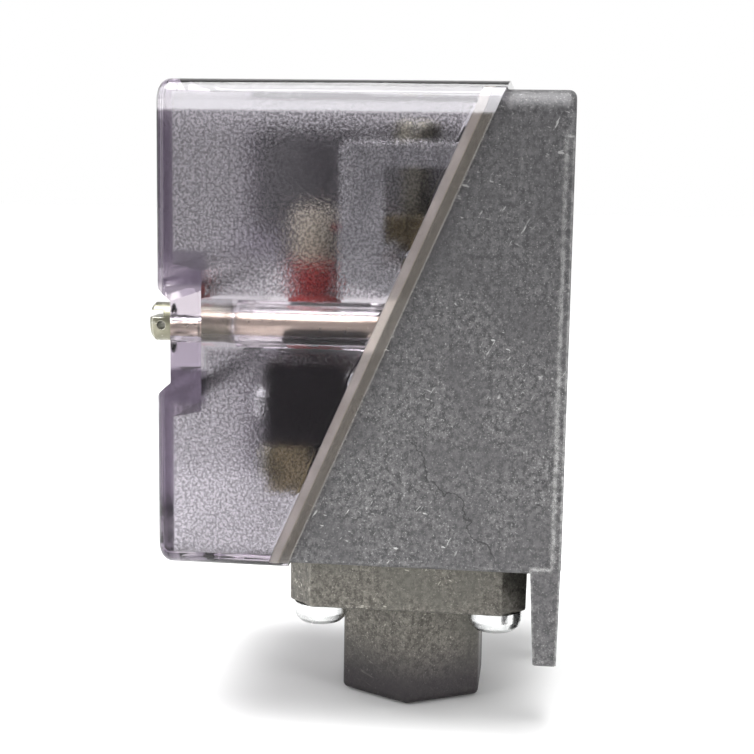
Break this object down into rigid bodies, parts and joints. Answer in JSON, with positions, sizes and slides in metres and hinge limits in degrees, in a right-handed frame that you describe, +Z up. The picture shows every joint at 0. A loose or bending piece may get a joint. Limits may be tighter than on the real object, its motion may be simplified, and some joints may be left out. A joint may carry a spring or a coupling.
{
  "type": "pressure switch",
  "caption": "Pressure switch with a wedge-shaped cast housing, a clear screwed cover on a sloping seam and a hexagonal threaded port below a square flange.",
  "frame": {"origin": "on the port axis, in the plane of the hexagon's lower face", "axes": "+Z up along the port axis, +Y from the clear cover to the flat mounting back, +X across the width, away from the cable gland"},
  "size_m": [0.0796, 0.0735, 0.1052],
  "materials": {
    "cast_flange": "rough die-cast, dull",
    "cast_housing": "raw die-cast, fine mottled grain",
    "zinc_steel": "zinc plated",
    "bright_steel": "polished",
    "nickel": "nickel plated",
    "brass": "satin",
    "black_rubber": "matt",
    "white_rubber": "matt",
    "clear_plastic": "clear, fine-textured sides and glossy edges",
    "red_plastic": "glossy",
    "cream_plastic": "satin",
    "black_plastic": "satin",
    "plain_aluminium": "satin"
  },
  "bodies": {
    "base": {"blade_anchor": "brass", "bracket_frame": "zinc_steel", "bracket_screws": "zinc_steel", "cover_screw_insert": "brass", "diaphragm": "black_rubber", "earth_screw": "brass", "earth_washer": "brass", "fixed_contacts": "brass", "flange_screws": "zinc_steel", "frame_screws": "zinc_steel", "frame_washers": "zinc_steel", "gland_body": "black_plastic", "gland_lock_nut": "nickel", "gland_seal": "black_rubber", "gland_washer": "black_rubber", "guide_bush": "brass", "housing": "cast_housing", "lever_pin": "bright_steel", "pin_clips": "bright_steel", "pressure_flange": "cast_flange", "range_spring": "bright_steel", "scale_plate": "plain_aluminium", "switch_bracket": "zinc_steel", "switch_case": "black_plastic", "switch_lid": "black_plastic", "switch_screws": "zinc_steel", "terminal_clamps": "brass", "terminal_screws": "nickel"},
    "cover": {"cover": "clear_plastic", "cover_gasket": "white_rubber"},
    "cover_screw": {"cover_screw": "nickel", "cover_screw_clip": "bright_steel"},
    "pressure_rod": {"pressure_plate": "brass", "push_rod": "bright_steel"},
    "lever": {"lever": "zinc_steel", "spring_seat": "brass"},
    "plunger": {"switch_plunger": "red_plastic"},
    "blade": {"contact_blade": "brass"},
    "setting_spindle": {"setting_spindle": "nickel", "spindle_clip": "bright_steel"},
    "range_nut": {"range_nut": "brass", "range_pointer": "red_plastic"},
    "knob": {"differential_knob": "red_plastic", "knob_shaft": "bright_steel", "dial_cap": "cream_plastic"},
    "gland_cap": {"gland_cap": "black_plastic"}
  },
  "joints": [
    {"name": "cover_lift", "type": "slide", "parent": "base", "child": "cover", "axis": [0, -1, 0], "range_m": [0, 0.06]},
    {"name": "cover_screw_turn", "type": "hinge", "parent": "cover", "child": "cover_screw", "pos_m": [0, -0.04, 0.064], "axis": [0, -1, 0], "continuous": true},
    {"name": "lever_tilt", "type": "hinge", "parent": "base", "child": "lever", "pos_m": [0, 0.014, 0.0426], "axis": [-1, 0, 0], "range_deg": [0, 2.2], "stiffness_Nm_per_rad": 1.97, "springref_deg": -32.66},
    {"name": "rod_lift", "type": "slide", "parent": "base", "child": "pressure_rod", "axis": [0, 0, 1], "range_m": [0, 0.0007], "deforming": ["diaphragm"]},
    {"name": "plunger_press", "type": "slide", "parent": "base", "child": "plunger", "axis": [0, 0, 1], "range_m": [0, 0.0014]},
    {"name": "blade_tilt", "type": "hinge", "parent": "base", "child": "blade", "pos_m": [-0.0095, -0.014, 0.05], "axis": [0, -1, 0], "range_deg": [0, 8.5]},
    {"name": "setting_turn", "type": "hinge", "parent": "base", "child": "setting_spindle", "pos_m": [0.0115, 0, 0.096], "axis": [0, 0, 1], "range_deg": [-2760, 2760]},
    {"name": "nut_slide", "type": "slide", "parent": "base", "child": "range_nut", "axis": [0, 0, 1], "range_m": [-0.006, 0.006], "deforming": ["range_spring"]},
    {"name": "knob_turn", "type": "hinge", "parent": "base", "child": "knob", "pos_m": [-0.0094, -0.0203, 0.0668], "axis": [0, 0, 1], "range_deg": [-135, 135]},
    {"name": "gland_cap_turn", "type": "hinge", "parent": "base", "child": "gland_cap", "pos_m": [-0.043, 0.01, 0.052], "axis": [-1, 0, 0], "continuous": true}
  ],
  "couplings": [
    {"joint": "rod_lift", "follows": "lever_tilt", "m_per_rad": 0.014},
    {"joint": "plunger_press", "follows": "lever_tilt", "m_per_rad": 0.028},
    {"joint": "blade_tilt", "follows": "lever_tilt", "ratio": 2.9474},
    {"joint": "setting_turn", "follows": "nut_slide", "rad_per_m": -7854}
  ]
}
